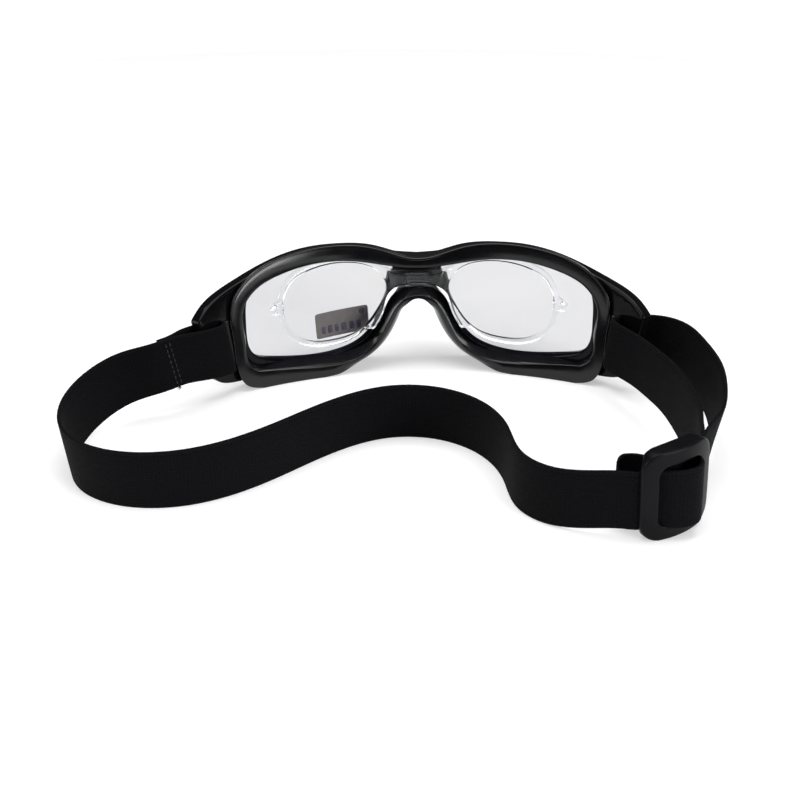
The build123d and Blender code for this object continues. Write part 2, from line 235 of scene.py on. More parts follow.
def filled(loops, grid, lines=()):
    """Flat triangles inside loops, with a staggered grid of points between them and edges
    along the closed lines. Gives the corners, the triangles, and the corner that each point
    of the loops became."""
    rim = np.vstack([*loops, *lines])
    low, high = rim.min(0), rim.max(0)
    rows = []
    for i, z in enumerate(np.arange(low[1], high[1], grid * 0.87)):
        x = np.arange(low[0] + (i % 2) * grid / 2, high[0], grid)
        rows.append(np.stack([x, np.full(len(x), z)], -1))
    spots = np.vstack(rows)
    spots = spots[in_loops(spots, loops)]
    keep = np.ones(len(spots), bool)
    for start in range(0, len(rim), 64):
        gap = np.linalg.norm(spots[:, None] - rim[None, start:start + 64], axis=2)
        keep &= gap.min(1) > 0.55 * grid
    edges, first = [], 0
    for loop in [*loops, *lines]:
        edges += [(first + i, first + (i + 1) % len(loop)) for i in range(len(loop))]
        first += len(loop)
    flat = [Vector(p) for p in np.vstack([rim, spots[keep]])]
    corners, _, triangles, sources, _, _ = delaunay_2d_cdt(flat, edges, [], 0, 1e-7)
    corners = np.array([(p.x, p.y) for p in corners])
    lookup = {s: i for i, ids in enumerate(sources) for s in ids}
    triangles = np.array([t for t in triangles if len(t) == 3])
    triangles = triangles[in_loops(corners[triangles].mean(1), loops)]
    return corners, triangles, lookup


def plate(loops, place, low, high, edge, grid=1.6, rounds=4, lines=()):
    """A curved plate with rounded edges. loops are its outline and holes in the unrolled
    layer, and place(s, z, h) puts a point at height h over the layer's rear face. low and
    high are its two faces, as numbers or functions of s and z, and lines are closed lines
    that its mesh follows."""
    low_at = low if callable(low) else lambda s, z: np.full(len(s), float(low))
    high_at = high if callable(high) else lambda s, z: np.full(len(s), float(high))
    loops = [turned(loops[0], True)] + [turned(loop, False) for loop in loops[1:]]
    normals = [inward(loop) for loop in loops]
    inner = [loop + normal * edge for loop, normal in zip(loops, normals)]
    corners, triangles, lookup = filled(inner, grid, lines)
    build = Build()
    s, z = corners.T
    tops = build.row(place(s, z, high_at(s, z)))
    bottoms = build.row(place(s, z, low_at(s, z)))
    for t in triangles:
        build.faces += [tuple(tops + t), tuple(bottoms + t[::-1])]
    theta = np.linspace(0, math.pi / 2, rounds + 1)[:-1]
    first = 0
    for loop, normal in zip(loops, normals):
        count = len(loop)
        numbers = np.arange(count)
        flat = np.array([lookup[first + i] for i in range(count)])
        first += count
        rows = [tops + flat]
        turns = [(1, t) for t in theta[::-1]] + [(-1, t) for t in theta]
        for side, t in turns:
            s, z = (loop + normal * edge * (1 - math.cos(t))).T
            bottom, top = low_at(s, z), high_at(s, z)
            rise = np.minimum(edge, (top - bottom) / 2) * (1 - math.sin(t))
            rows.append(build.row(place(s, z, top - rise if side > 0 else bottom + rise)) + numbers)
        rows.append(bottoms + flat)
        for a, b in zip(rows, rows[1:]):
            build.band(a, b)
    return build.made()


def sweep(sections, closed_path, closed_section=True):
    """A tube from equal sections, one after another, with flat ends where it is open."""
    build = Build()
    rows = [build.row(section) + np.arange(len(section)) for section in sections]
    for a, b in zip(rows, rows[1:] + rows[:1] if closed_path else rows[1:]):
        build.band(a, b, closed_section)
    if not closed_path and closed_section:
        build.faces += [tuple(rows[0][::-1]), tuple(rows[-1])]
    return build.made()


def tube(line, radius, sides=6):
    """A round thread along a line, drawn in at its ends."""
    line = np.asarray(line, float)
    run = np.gradient(line, axis=0)
    run /= np.linalg.norm(run, axis=1)[:, None]
    across = np.cross(run, [0.31, 0.52, 0.79])
    across /= np.linalg.norm(across, axis=1)[:, None]
    upright = np.cross(run, across)
    turn = np.linspace(0, 2 * math.pi, sides, endpoint=False)[None, :, None]
    thick = radius * np.where(np.isin(np.arange(len(line)), (0, len(line) - 1)), 0.45, 1.0)
    ring = np.cos(turn) * across[:, None] + np.sin(turn) * upright[:, None]
    return sweep(list(line[:, None] + thick[:, None, None] * ring), closed_path=False)


def joined(shapes):
    """Several shapes as one."""
    points, faces, first = [], [], 0
    for part_points, part_faces in shapes:
        points.append(part_points)
        faces += [tuple(first + i for i in face) for face in part_faces]
        first += len(part_points)
    return np.vstack(points), faces


def rounded_box(width, height, corner, step):
    """Closed rounded rectangle about the origin."""
    t = np.radians(np.arange(0, 360, 10) + 5)
    line = np.stack([
        np.sign(np.cos(t)) * (width / 2 - corner) + corner * np.cos(t),
        np.sign(np.sin(t)) * (height / 2 - corner) + corner * np.sin(t),
    ], -1)
    return spaced(np.vstack([line, line[:1]]), closed=True, step=step)


# ---------------------------------------------------------------- unrolled layers
def layer(radius, rear_y, middle):
    """place and unroll for a layer: place puts (s, z, h) into space, where s runs round the
    arc at the height middle over the rear face, and unroll takes front-view (x, z) to (s, z)."""
    across = radius + middle

    def place(s, z, h):
        turn = np.asarray(s) / across
        y = rear_y - radius + (radius + h) * np.cos(turn) + z * LEAN
        return np.stack([(radius + h) * np.sin(turn), y, z + 0 * turn], -1)

    def unroll(points):
        x, z = np.asarray(points, float).T
        return np.stack([across * np.arcsin(x / across), z], -1)

    return place, unroll


def layer_y(radius, rear_y, x, z):
    """Where the rear face of a layer stands at a place on the front view."""
    return rear_y - radius + np.sqrt(radius**2 - x**2) + z * LEAN


def half_line(*stretches, counts=None, step=0.6):
    """The right half of an outline from its stretches, each smooth between its corners."""
    parts = []
    for i, points in enumerate(stretches):
        count = counts[i] if counts else None
        make = spaced if len(points) == 2 else smooth
        part = make(np.array(points, float), count=count, step=step)
        parts.append(part if i == 0 else part[1:])
    return np.vstack(parts)


# ---------------------------------------------------------------- outlines, in front view
shell_place, shell_unroll = layer(SHELL_RADIUS, SHELL_Y, SHELL_THICKNESS / 2)
lens_place, lens_unroll = layer(LENS_RADIUS, LENS_Y, LENS_THICKNESS / 2)
insert_place, insert_unroll = layer(INSERT_RADIUS, INSERT_Y, INSERT_THICKNESS / 2)

SHELL_HALF = [
    [(0, 40.3), (3, 40.4), (9, 41.7), (17, 44.3), (30, 46.1), (44, 46.2), (56, 44.2), (70, 39.8),
     (79, 35.4), (82, 31.5)],
    [(82, 31.5), (78.4, 10)],
    [(78.4, 10), (75.4, 5.8), (69, 3.4)],
    [(69, 3.4), (54, 2)],
    [(54, 2), (34, 2)],
    [(34, 2), (23, 4), (15, 12), (8, 23), (4, 27.6), (0, 28.6)],
]
APERTURE = [(10.3, 40), (10.6, 31), (14.6, 19), (22, 8.6), (34, 4.6), (54, 7), (64, 12.2),
            (66.2, 24), (64.6, 35.2), (50, 41.6), (34, 43.6), (18, 42.4)]
LUG_SLOT = [(69.9, 8.8), (73.4, 8.8), (76.0, 27.8), (72.4, 27.8)]

# The three lines of the cushion, each in the same three stretches, with as many points
CUSHION_COUNTS = (110, 18, 84)
FLANGE_OUTER = [
    [(0, 43.7), (3, 43.9), (8, 45.2), (18, 48.4), (33, 50), (50, 48.1), (63, 42.8), (69.4, 35),
     (69.2, 20), (68, 8), (65, 2.2), (59, 0)],
    [(59, 0), (36, 0)],
    [(36, 0), (25, 1.8), (14.4, 8), (7.2, 19.4), (4.4, 25.4), (2.1, 27.7), (0, 28.2)],
]
FLANGE_OPENING = [
    [(0, 39.9), (3, 39.9), (9, 40.5), (22, 42.9), (37, 43.9), (52, 41.4), (61.6, 36.8), (65.5, 31),
     (65.2, 18), (64.2, 10.6), (60.6, 7.2)],
    [(60.6, 7.2), (38, 4.6)],
    [(38, 4.6), (26, 5.4), (16.6, 11.4), (9.5, 23.6), (5.2, 28.2), (2.4, 29.4), (0, 29.6)],
]
CUP_OUTER = [
    [(0, 42.0), (9, 42.8), (22, 45.5), (37, 46.6), (52.6, 44.0), (63.3, 39.2), (67.2, 32),
     (66.4, 18), (64.6, 7.2), (58.4, 4.1)],
    [(58.4, 4.1), (38, 2.5)],
    [(38, 2.5), (25, 3.6), (15.1, 10.3), (8, 22.4), (3.7, 26.6), (0, 27.5)],
]
INSERT_HALF = [
    [(0, 35.2), (7.5, 36), (12.6, 37.6), (16, 39.2), (25, 42), (40, 41.6), (50.4, 36.4),
     (53.2, 29.6)],
    [(53.2, 29.6), (54.6, 28.7), (56.3, 27.6), (56.5, 25.6), (55, 24.4), (53.2, 24.6)],
    [(53.2, 24.6), (51, 17), (43.6, 10.6), (33, 9.3), (24, 11.7), (20.4, 14.4)],
    [(20.4, 14.4), (17, 14)],
    [(17, 14), (13.6, 20), (11.6, 25.4), (8.4, 29.4), (4.8, 30.6), (0, 30.8)],
]
INSERT_OPENING = [(12.4, 31.2), (15.2, 22.4), (22.4, 14.0), (33, 11.1), (42.7, 12.3),
                  (49.4, 18.1), (51.8, 27.4), (48.9, 35.2), (39.4, 39.8), (25.3, 40.2),
                  (16.8, 37.2)]
EAR_HOLE = [(54.6 + 0.9 * math.cos(t), 26.5 + 0.9 * math.sin(t))
            for t in np.linspace(0, 2 * math.pi, 20, endpoint=False)]


def pair(points):
    """A closed loop on the right of the nose, and its mirror on the left."""
    return [np.array(points), np.array(points) * np.array([-1, 1])]


# ---------------------------------------------------------------- front shell
shell_loops = [soften(mirrored(half_line(*SHELL_HALF, step=0.55)), 2)]
shell_loops += pair(smooth(APERTURE, closed=True, step=0.6))
slot_line = spaced(np.array(LUG_SLOT + LUG_SLOT[:1], float), closed=True, step=0.35)
shell_loops += pair(soften(slot_line, 5))
PEG_WIDTH, PEG_HEIGHT, PEG_Z, PEG_TIP_Y = 8.6, 3.4, 32.6, 22.6
SOCKET_DEPTH, SOCKET_GAP = 1.5, 0.15


def shell_rear(s, z):
    """The rear face, with the socket for the insert's peg in its bridge."""
    beyond = np.maximum(np.abs(s) - PEG_WIDTH / 2, np.abs(np.asarray(z) - PEG_Z) - PEG_HEIGHT / 2)
    return SOCKET_DEPTH * np.clip(1 - beyond / SOCKET_GAP, 0, 1)


socket_lines = [
    rounded_box(PEG_WIDTH + 2 * gap, PEG_HEIGHT + 2 * gap, 0.2, 0.4) + np.array([0, PEG_Z])
    for gap in (SOCKET_GAP, 0.02)
]
front_shell = piece(
    "Front_Shell",
    plate([shell_unroll(loop) for loop in shell_loops], shell_place, shell_rear,
          SHELL_THICKNESS, 0.9, grid=1.5, lines=socket_lines),
    "goggles", ["front_shell"],
)

# ---------------------------------------------------------------- face cushion
cushion_lines = [
    mirrored(half_line(*outline, counts=CUSHION_COUNTS))
    for outline in (FLANGE_OUTER, FLANGE_OPENING, CUP_OUTER)
]
outer_line, opening_line, cup_line = cushion_lines


def flange_points(line, back):
    """Points of a front-view line, back millimetres behind the flange's rear face."""
    x, z = line.T
    return np.stack([x, layer_y(FLANGE_RADIUS, FLANGE_Y, x, z) - back, z], -1)


def wall_points(line, share, clear=0.0):
    """Points of a front-view line, at a share of the way from the flange to the shell and
    at least clear millimetres on from the flange."""
    x, z = line.T
    near = layer_y(FLANGE_RADIUS, FLANGE_Y, x, z)
    far = layer_y(SHELL_RADIUS, SHELL_Y, x, z)
    return np.stack([x, np.maximum(near + share * (far - near), near + clear), z], -1)


def cushion_rows():
    """Lines round the cushion, in order round its section: up the inside of the wall, over
    the flange's face, round its outer edge, and down the outside of the wall. The face
    turns forward beside the nose and has a raised lip along the brow."""
    width = np.linalg.norm(outer_line - opening_line, axis=1)
    out = (outer_line - opening_line) / width[:, None]
    x, z = outer_line.T
    beside_nose = ramp(32 - np.abs(x), 0, 12) * ramp(27.5 - z, 0, 7)
    forward = 7.0 * beside_nose
    lip = 0.34 * ramp(z, 24, 36)
    inner_round = np.minimum(0.5, 0.3 * width)
    outer_round = np.minimum(0.6, 0.3 * width)

    def face(reach, back):
        """A line reach millimetres out from the opening, back millimetres behind the face."""
        line = opening_line + out * reach[:, None]
        return flange_points(line, back - forward * (reach / width) ** 2.2)

    rows = [wall_points(opening_line, share) for share in (1.0, 0.82, 0.6, 0.4, 0.24)]
    for t in np.radians([0, 18, 36, 54, 72, 90]):
        rows.append(face(inner_round * (1 - math.cos(t)), -inner_round * (1 - math.sin(t))))
    lip_width = np.minimum(1.3, 0.4 * width)
    flat_end = width - lip_width
    crown = 0.12 * np.minimum(1, width / 6)
    for share in (0.2, 0.4, 0.6, 0.8, 1.0):
        reach = inner_round + share * np.maximum(flat_end - inner_round, 0.02)
        rows.append(face(reach, crown * math.sin(math.pi * share)))
    for share, rise in ((0.1, -0.12), (0.22, 0.5), (0.36, 0.95)):
        rows.append(face(flat_end + share * lip_width, lip * rise))
    for t in np.radians([25, 45, 65, 80, 90]):
        reach = width - outer_round * (1 - math.sin(t))
        rows.append(face(reach, lip - outer_round * (1 - math.cos(t))))
    rows.append(face(width, np.full(len(x), -FLANGE_THICKNESS + 0.5)))
    rows.append(face(width - 0.4 * outer_round, np.full(len(x), -FLANGE_THICKNESS)))
    under = cup_line + 0.35 * (outer_line - cup_line)
    rows.append(flange_points(under, -FLANGE_THICKNESS - 0.1 - 0.9 * forward))
    for share, step in ((0.36, 0.6), (0.52, 1.0), (0.76, 1.4), (1.0, 1.8)):
        rows.append(wall_points(cup_line, share, FLANGE_THICKNESS + 0.9 * forward + step))
    return rows


cushion_sections = np.stack(cushion_rows(), 1)
face_cushion = piece("Face_Cushion", sweep(list(cushion_sections), closed_path=True),
                     "goggles", ["face_cushion"])

# ---------------------------------------------------------------- lenses and label
LENS_GRIP = 1.3
aperture_line = smooth(APERTURE, closed=True, step=0.7)
lens_line = aperture_line - inward(turned(aperture_line)) * LENS_GRIP
lens_pieces = []
for side, name in ((1, "right"), (-1, "left")):
    loop = lens_line * np.array([side, 1])
    lens_pieces.append(piece(
        f"Lens_{name}",
        plate([lens_unroll(loop)], lens_place, 0.0, LENS_THICKNESS, 0.4, grid=1.8, rounds=3),
        "goggles", [f"lens_{name}"],
    ))

LABEL_X, LABEL_Z, LABEL_TURN = -29.2, 15.4, 4.0
LABEL_WIDTH, LABEL_HEIGHT, LABEL_CORNER = 20.5, 10.0, 1.0
label_tilt = math.radians(LABEL_TURN)
LABEL_AXES = np.array([[math.cos(label_tilt), math.sin(label_tilt)],
                       [-math.sin(label_tilt), math.cos(label_tilt)]])


def on_label(points):
    """Points about the label's middle, in the lens's unrolled layer."""
    return lens_unroll(points @ LABEL_AXES + np.array([LABEL_X, LABEL_Z]))


lens_label = piece(
    "Lens_Label",
    plate([on_label(rounded_box(LABEL_WIDTH, LABEL_HEIGHT, LABEL_CORNER, 0.5))], lens_place,
          LENS_THICKNESS + 0.03, LENS_THICKNESS + LABEL_THICKNESS, 0.08, grid=1.2, rounds=2),
    "goggles", ["lens_label"],
)
# Plain printed marks: a spot and a row of blank bars
mark_lines = [rounded_box(2.4, 2.4, 1.19, 0.3) + np.array([7.8, 3.0])]
bars = (-7.4, 1.5), (-4.9, 1.7), (-2.3, 1.5), (0.5, 2.1), (3.5, 1.7), (6.2, 1.5)
mark_lines += [rounded_box(wide, 3.0, 0.4, 0.3) + np.array([x, -1.9]) for x, wide in bars]
label_marks = piece(
    "Label_Marks",
    joined([plate([on_label(line)], lens_place, LENS_THICKNESS, LENS_THICKNESS + 0.028,
                  0.01, grid=0.8, rounds=1) for line in mark_lines]),
    "goggles",
)

# ---------------------------------------------------------------- prescription insert
insert_loops = [soften(mirrored(half_line(*INSERT_HALF, step=0.45)), 2)]
insert_loops += pair(smooth(INSERT_OPENING, closed=True, step=0.5))
insert_loops += pair(EAR_HOLE)


def insert_rear(s, z):
    """The saddle stands out toward the wearer, with a clip's relief in its middle."""
    s, z = np.abs(np.asarray(s)), np.asarray(z)
    saddle = ramp(14.5 - s, 0, 6) * ramp(z, 18, 27)
    relief = ramp(5.4 - s, 0, 0.9) * ramp(z, 31.3, 31.9) * ramp(34.6 - z, 0, 0.5)
    pocket = ramp(4.3 - s, 0, 0.7) * ramp(z, 31.9, 32.5) * ramp(34 - z, 0, 0.5)
    return -3.0 * saddle - 0.55 * relief + 0.75 * pocket


rx_insert = piece(
    "Rx_Insert",
    plate([insert_unroll(loop) for loop in insert_loops], insert_place, insert_rear,
          INSERT_THICKNESS, 0.45, grid=0.75, rounds=3),
    "insert", ["rx_insert"],
)

insert_peg = piece(
    "Insert_Peg",
    plate([rounded_box(PEG_WIDTH, PEG_HEIGHT, 0.5, 0.3) + np.array([0, PEG_Z])],
          lambda x, z, y: np.stack(np.broadcast_arrays(x, y, z), -1), 17.0, PEG_TIP_Y, 0.35,
          grid=0.8, rounds=2),
    "insert",
)

# ---------------------------------------------------------------- slider
SLIDER_TURN, SLIDER_SLOPE = math.radians(28.0), math.radians(4.0)
SLIDER_X, SLIDER_Y = 71.2, -118.0
SLIDER_LENGTH, SLIDER_HEIGHT, SLIDER_CORNER = 25.5, 30.4, 6.0
SLIDER_BAR, WINDOW_HEIGHT, WINDOW_CORNER = 4.7, 21.0, 3.4
STRAP_WIDTH, STRAP_THICKNESS = 20.0, 1.3
UV_BACK = 30.0
slider_low, slider_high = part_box("slider")
slider_z = 500 * (slider_low.z + slider_high.z) + 0.6
WEBBING_DROP = 1.1
slider_along = np.array([
    math.cos(SLIDER_TURN) * math.cos(SLIDER_SLOPE),
    math.sin(SLIDER_TURN) * math.cos(SLIDER_SLOPE),
    math.sin(SLIDER_SLOPE),
])
slider_out = np.array([math.sin(SLIDER_TURN), -math.cos(SLIDER_TURN), 0.0])
slider_up = np.cross(slider_out, slider_along)
slider_centre = np.array([SLIDER_X, SLIDER_Y, slider_z])
BAR_THICKNESS = 1.75
FRONT_CROWN, FRONT_FALL = 2.6, 3.2
RAIL_REAR = -3.9
CENTRE_BAR, CENTRE_BAR_FRONT = 3.6, -2.3


def slider_place(u, v, w):
    """A place on the slider: u along the webbing, v up, w out of the loop."""
    u, v, w = np.broadcast_arrays(u, v, w)
    return (slider_centre + u[:, None] * slider_along + v[:, None] * slider_up
            + w[:, None] * slider_out)


def slider_front(u, v):
    """The front bows from end to end, and a little from rail to rail."""
    return (FRONT_CROWN - FRONT_FALL * (2 * u / SLIDER_LENGTH) ** 2
            - 0.5 * (2 * np.abs(v) / SLIDER_HEIGHT) ** 3)


def slider_rear(u, v):
    """The rails are deep, and the bars between them follow the front."""
    bar = slider_front(u, v) - BAR_THICKNESS
    return bar + (RAIL_REAR - bar) * ramp(np.abs(v), 10.5, 11.5) * ramp(12.9 - np.abs(u), 0, 3)


slider_ring = piece(
    "Slider_Frame",
    plate([rounded_box(SLIDER_LENGTH, SLIDER_HEIGHT, SLIDER_CORNER, 0.4),
           rounded_box(SLIDER_LENGTH - 2 * SLIDER_BAR, WINDOW_HEIGHT, WINDOW_CORNER, 0.4)],
          slider_place, slider_rear, slider_front, 0.5, grid=0.6),
    "slider", ["slider"],
)
slider_bar = piece(
    "Slider_Centre_Bar",
    plate([rounded_box(CENTRE_BAR, WINDOW_HEIGHT + 1.2, 0.5, 0.4)], slider_place,
          RAIL_REAR + 0.1, CENTRE_BAR_FRONT, 0.6, grid=0.7),
    "slider",
)

# ---------------------------------------------------------------- strap
# Control points of the webbing's lower edge, in order from its sewn tail to its free end.
# Each row is x, y, z and where the upper edge stands from it in plan.
SEAM_X, SEAM_Y = -87.0, -25.6
TAIL_X, TAIL_Y = 0.84, 0.54
HALF_LAYER = (STRAP_THICKNESS + 0.1) / 2


def on_slider(u, w):
    """A control row on the slider: u along the webbing, w out of the loop."""
    v = -STRAP_WIDTH / 2 - WEBBING_DROP
    x, y, z = slider_centre + u * slider_along + v * slider_up + w * slider_out
    return (x, y, z, STRAP_WIDTH * slider_up[0], STRAP_WIDTH * slider_up[1])


def at_seam(distance, outside):
    """A control row at the sewn end: distance toward the slider, and outside the loop."""
    x = SEAM_X - TAIL_X * distance - TAIL_Y * outside
    y = SEAM_Y - TAIL_Y * distance + TAIL_X * outside
    return (x, y, 9.5 - 0.12 * distance, -3.3, -2.4)


strap_main = (
    [at_seam(4.6, HALF_LAYER), at_seam(0, HALF_LAYER), (-83.6, -20.6, 9.6, -3.4, -1.4),
     (-79.0, -15.8, 9.4, -3.4, -1.2), (-74.4, -11.8, 9.3, -3.3, -1.2),
     (-71.2, -11.4, 9.2, -3.2, -1.2), (-69.3, -14.0, 9.2, -2.9, -1.3),
     (-72.0, -18.2, 9.2, -2.7, -1.7), (-80.4, -22.9, 9.4, -2.8, -2.2)]
    + [at_seam(0, -HALF_LAYER), at_seam(5, -HALF_LAYER)]
    + [(-103, -33.5, 6.7, -3.2, -1.6), (-113, -43.5, 4.0, -3.2, -0.6),
       (-118.4, -57, 1.5, -3.1, 0), (-118.6, -71, 0.2, -2.5, -0.4),
       (-112.5, -85.5, 0, -1.3, -1.0), (-98, -95.4, 0, -0.4, -0.8), (-79, -96, 0, 0, -0.3),
       (-54, -82, 0, 0, 0), (-28, -59.2, 0, 0, 0), (-12, -52, 0, 0, 0),
       (4, -54, 0, 0, 0), (17.4, -65.2, 0, 0, 0), (24, -83.6, 0, 0, 0),
       (27, -102.4, 0, 0, 0), (35.4, -112, 0.4, -0.2, 0), (47, -116.8, 2.0, -0.6, -0.3),
       (56, -119.8, 3.4, -1.1, -0.6)]
    + [on_slider(-12.6, -3.1), on_slider(-8.6, -1.5), on_slider(-6.6, -0.1),
       on_slider(-4, 2.2), on_slider(0, 4.2), on_slider(4.2, 4.4), on_slider(6.9, 2.5),
       on_slider(8.2, -0.4), on_slider(9.9, -2.3), on_slider(12.6, -4.4)]
    + [(82.8, -104, 6, -1.0, 0.5), (87.2, -90, 7, 3.2, -0.1), (93.6, -72.6, 8.2, 3.3, 0),
       (96.6, -54.5, 9.2, 2.9, 0), (95.1, -38.6, 10, 3.3, -0.2), (90, -21.4, 10.7, 3.4, -0.8),
       (83.2, -14.6, 10.2, 3.3, -1.2), (78.2, -12.2, 9.7, 3.3, -1.2)]
    + [(73.8, -10.9, 9.4, 3.2, -1.2), (70.9, -12.0, 9.1, 2.9, -1.2)]
)
strap_inner = (
    [(68.8, -14.8, 9.0, 1.6, -0.9), (70.5, -20.0, 8.8, 1.0, -1.2), (76.2, -30.8, 8.6, 0.6, -1.2),
     (80.1, -42.5, 8.4, 0.5, -0.6), (82, -50, 8.3, 0.6, 0), (83.6, -61.4, 7.8, 1.5, 0),
     (84.2, -73.4, 7.2, 1.6, 0), (84, -83, 6.8, 1.8, 0), (82.4, -95, 6.3, 1.0, 0),
     (80, -106, 5.9, -0.4, -0.2)]
    + [on_slider(9.4, -5.0), on_slider(5, -4.0), on_slider(0, -1.4), on_slider(-3.6, -3.2)]
    + [(63.6, -113.6, 4.6, -0.8, -0.4), (59.4, -112.4, 5.1, -0.6, -0.4),
       (56.2, -112.8, 5.3, -0.4, -0.4), (53.8, -113.8, 5.4, -0.4, -0.4)]
)
route = smooth(strap_main + strap_inner, step=0.42, lead=3)


def strap_section(count=7):
    """Section of the webbing, as shares across its width and millimetres through it. A
    groove inside each edge sets off its edge cord."""
    half = STRAP_THICKNESS / 2
    across = [0.0, 0.006, 0.022, 0.042, 0.055, 0.068, 0.085]
    depth = [0.30, 0.78, 0.98, 0.96, 0.80, 0.96, 1.0]
    across += list(np.linspace(0.085, 0.5, count)[1:])
    depth += [1.0] * (count - 1)
    across = np.array(across + [1 - a for a in across[-2::-1]])
    depth = np.array(depth + depth[-2::-1]) * half
    return np.concatenate([across, across[::-1]]), np.concatenate([depth, -depth[::-1]])


def strap_shape(rows, start_run, corner=0.0):
    """The webbing over some rows of the route, with its UV: metres along and across. Its
    last end has rounded corners."""
    lower = rows[:, :3]
    offset = rows[:, 3:5]
    rise = np.sqrt(STRAP_WIDTH**2 - np.sum(offset**2, axis=1))
    upper = lower + np.column_stack([offset, rise])
    along = np.gradient((lower + upper) / 2, axis=0)
    along /= np.linalg.norm(along, axis=1)[:, None]
    across = upper - lower
    through = np.cross(along, across)
    through /= np.linalg.norm(through, axis=1)[:, None]
    shares, depths = strap_section()
    run = start_run + np.concatenate([[0], np.cumsum(
        np.linalg.norm(np.diff((lower + upper) / 2, axis=0), axis=1))])
    near_end = np.clip(1 - (run[-1] - run) / max(corner, 1e-6), 0, 1)
    inset = corner * (1 - np.sqrt(1 - near_end**2)) / STRAP_WIDTH
    spots = inset[:, None] + shares[None] * (1 - 2 * inset[:, None])
    points = (lower[:, None] + spots[:, :, None] * across[:, None]
              + depths[None, :, None] * through[:, None])
    side = np.where(depths > 0, 0.0, UV_BACK)
    uv = np.stack(np.broadcast_arrays(run[:, None], spots * STRAP_WIDTH + side[None]), -1)
    return sweep(list(points), closed_path=False), uv.reshape(-1, 2) / 1000, run[-1]


def nearest(row):
    """Index on the route of a control row."""
    return int(np.argmin(np.linalg.norm(route[:, :3] - np.array(row[:3]), axis=1)))


# The webbing is three pieces that meet in the slider: up to it, from it round the right lug,
# and the free end. The first two stay fixed in the row frame; the free end rides on the slider.
BEND_FAR, BEND_NEAR = 24, 13
PAST_SLIDER = 100
first_pass = nearest(on_slider(-8.6, -1.5))
second_pass = first_pass + PAST_SLIDER + int(np.argmin(np.linalg.norm(
    route[first_pass + PAST_SLIDER:, :3] - np.array(on_slider(0, -1.4))[:3], axis=1)))
cuts = [0, first_pass, second_pass, len(route) - 1]
left_blend = ("goggles", "slider"), (slider_centre - BEND_FAR * slider_along,
                                     slider_centre - BEND_NEAR * slider_along)
right_blend = ("goggles", "slider"), (slider_centre + BEND_FAR * slider_along,
                                      slider_centre + BEND_NEAR * slider_along)
strap_pieces, run = [], 0.0
for name, first, last, blended in (
    ("Strap_Back", cuts[0], cuts[1], left_blend),
    ("Strap_Right", cuts[1], cuts[2], right_blend),
    ("Strap_Free_End", cuts[2], cuts[3], None),
):
    rows = route[first:last + 1]
    shape, uv, run_end = strap_shape(rows, run, 0.0 if blended else 2.2)
    made = piece(name, shape, "slider", ["strap"] if first == 0 else (), uv=uv,
                 blended=blended)
    strap_pieces.append(made)
    run = run_end

# The tail's two rows of stitches, on both faces, and the frayed thread ends under the seam
STITCH_LENGTH, STITCH_PITCH, STITCH_COUNT = 1.5, 2.2, 8
stitches = []
for layer_side in (1, -1):
    for distance in (1.0, 2.6):
        x, y, z, lean_x, lean_y = at_seam(distance, layer_side * HALF_LAYER)
        up = np.array([lean_x, lean_y, math.sqrt(STRAP_WIDTH**2 - lean_x**2 - lean_y**2)])
        up /= STRAP_WIDTH
        out = np.cross(up, [TAIL_X, TAIL_Y, 0.0]) * layer_side
        out /= np.linalg.norm(out)
        foot = np.array([x, y, z]) + out * (STRAP_THICKNESS / 2)
        for i in range(STITCH_COUNT):
            middle = foot + up * (STRAP_WIDTH / 2 + (i - (STITCH_COUNT - 1) / 2) * STITCH_PITCH)
            stitches.append(tube(
                [middle + up * STITCH_LENGTH * share + out * (0.2 - 0.9 * share**2)
                 for share in (-0.5, -0.36, -0.18, 0, 0.18, 0.36, 0.5)], 0.16,
            ))
seam_foot = np.array(at_seam(1.8, -HALF_LAYER)[:3])
for lean, drop in ((-0.9, 1.5), (-0.3, 2.1), (0.4, 1.7), (0.9, 1.2)):
    stitches.append(tube(
        [seam_foot + np.array([lean * share**2, -0.3 * share, 0.5 - drop * share])
         for share in np.linspace(0, 1, 6)], 0.13,
    ))
strap_stitching = piece("Strap_Stitching", joined(stitches), "goggles",
                        ["strap_stitching"])

# ---------------------------------------------------------------- camera and light
EYE = (-22.5, -432.5, 200.0)
LOOK = Vector((0.0314, 0.898, -0.438))
camera_data = bpy.data.cameras.new("Camera")
camera_data.sensor_width, camera_data.lens = 36.0, 55.35
camera_data.clip_start, camera_data.clip_end = 0.01, 20
camera = bpy.data.objects.new("Camera", camera_data)
camera.location = tuple(to_row(EYE))
camera.rotation_euler = LOOK.to_track_quat("-Z", "Y").to_euler()
bpy.context.scene.collection.objects.link(camera)
bpy.context.scene.camera = camera

FLOOR_REACH, WALL_RADIUS, WALL_HEIGHT = 6.0, 0.75, 2.5
CARD_Y, CARD_LEFT, CARD_RIGHT, CARD_LOW, CARD_HIGH = -238, -48, 75, 1, 420


def staged(name, points, faces):
    """A piece of the studio, in metres."""
    mesh = bpy.data.meshes.new(name)
    mesh.from_pydata([tuple(p) for p in points], [], faces)
    made = bpy.data.objects.new(name, mesh)
    bpy.context.scene.collection.objects.link(made)
    return made


def soft_light(name, place, aim, size, power):
    """A rectangular light, in metres and watts."""
    light = bpy.data.lights.new(name, "AREA")
    light.shape = "RECTANGLE"
    light.size, light.size_y = size
    light.energy = power
    made = bpy.data.objects.new(name, light)
    made.location = place
    made.rotation_euler = (Vector(aim) - Vector(place)).to_track_quat("-Z", "Y").to_euler()
    bpy.context.scene.collection.objects.link(made)
    return made


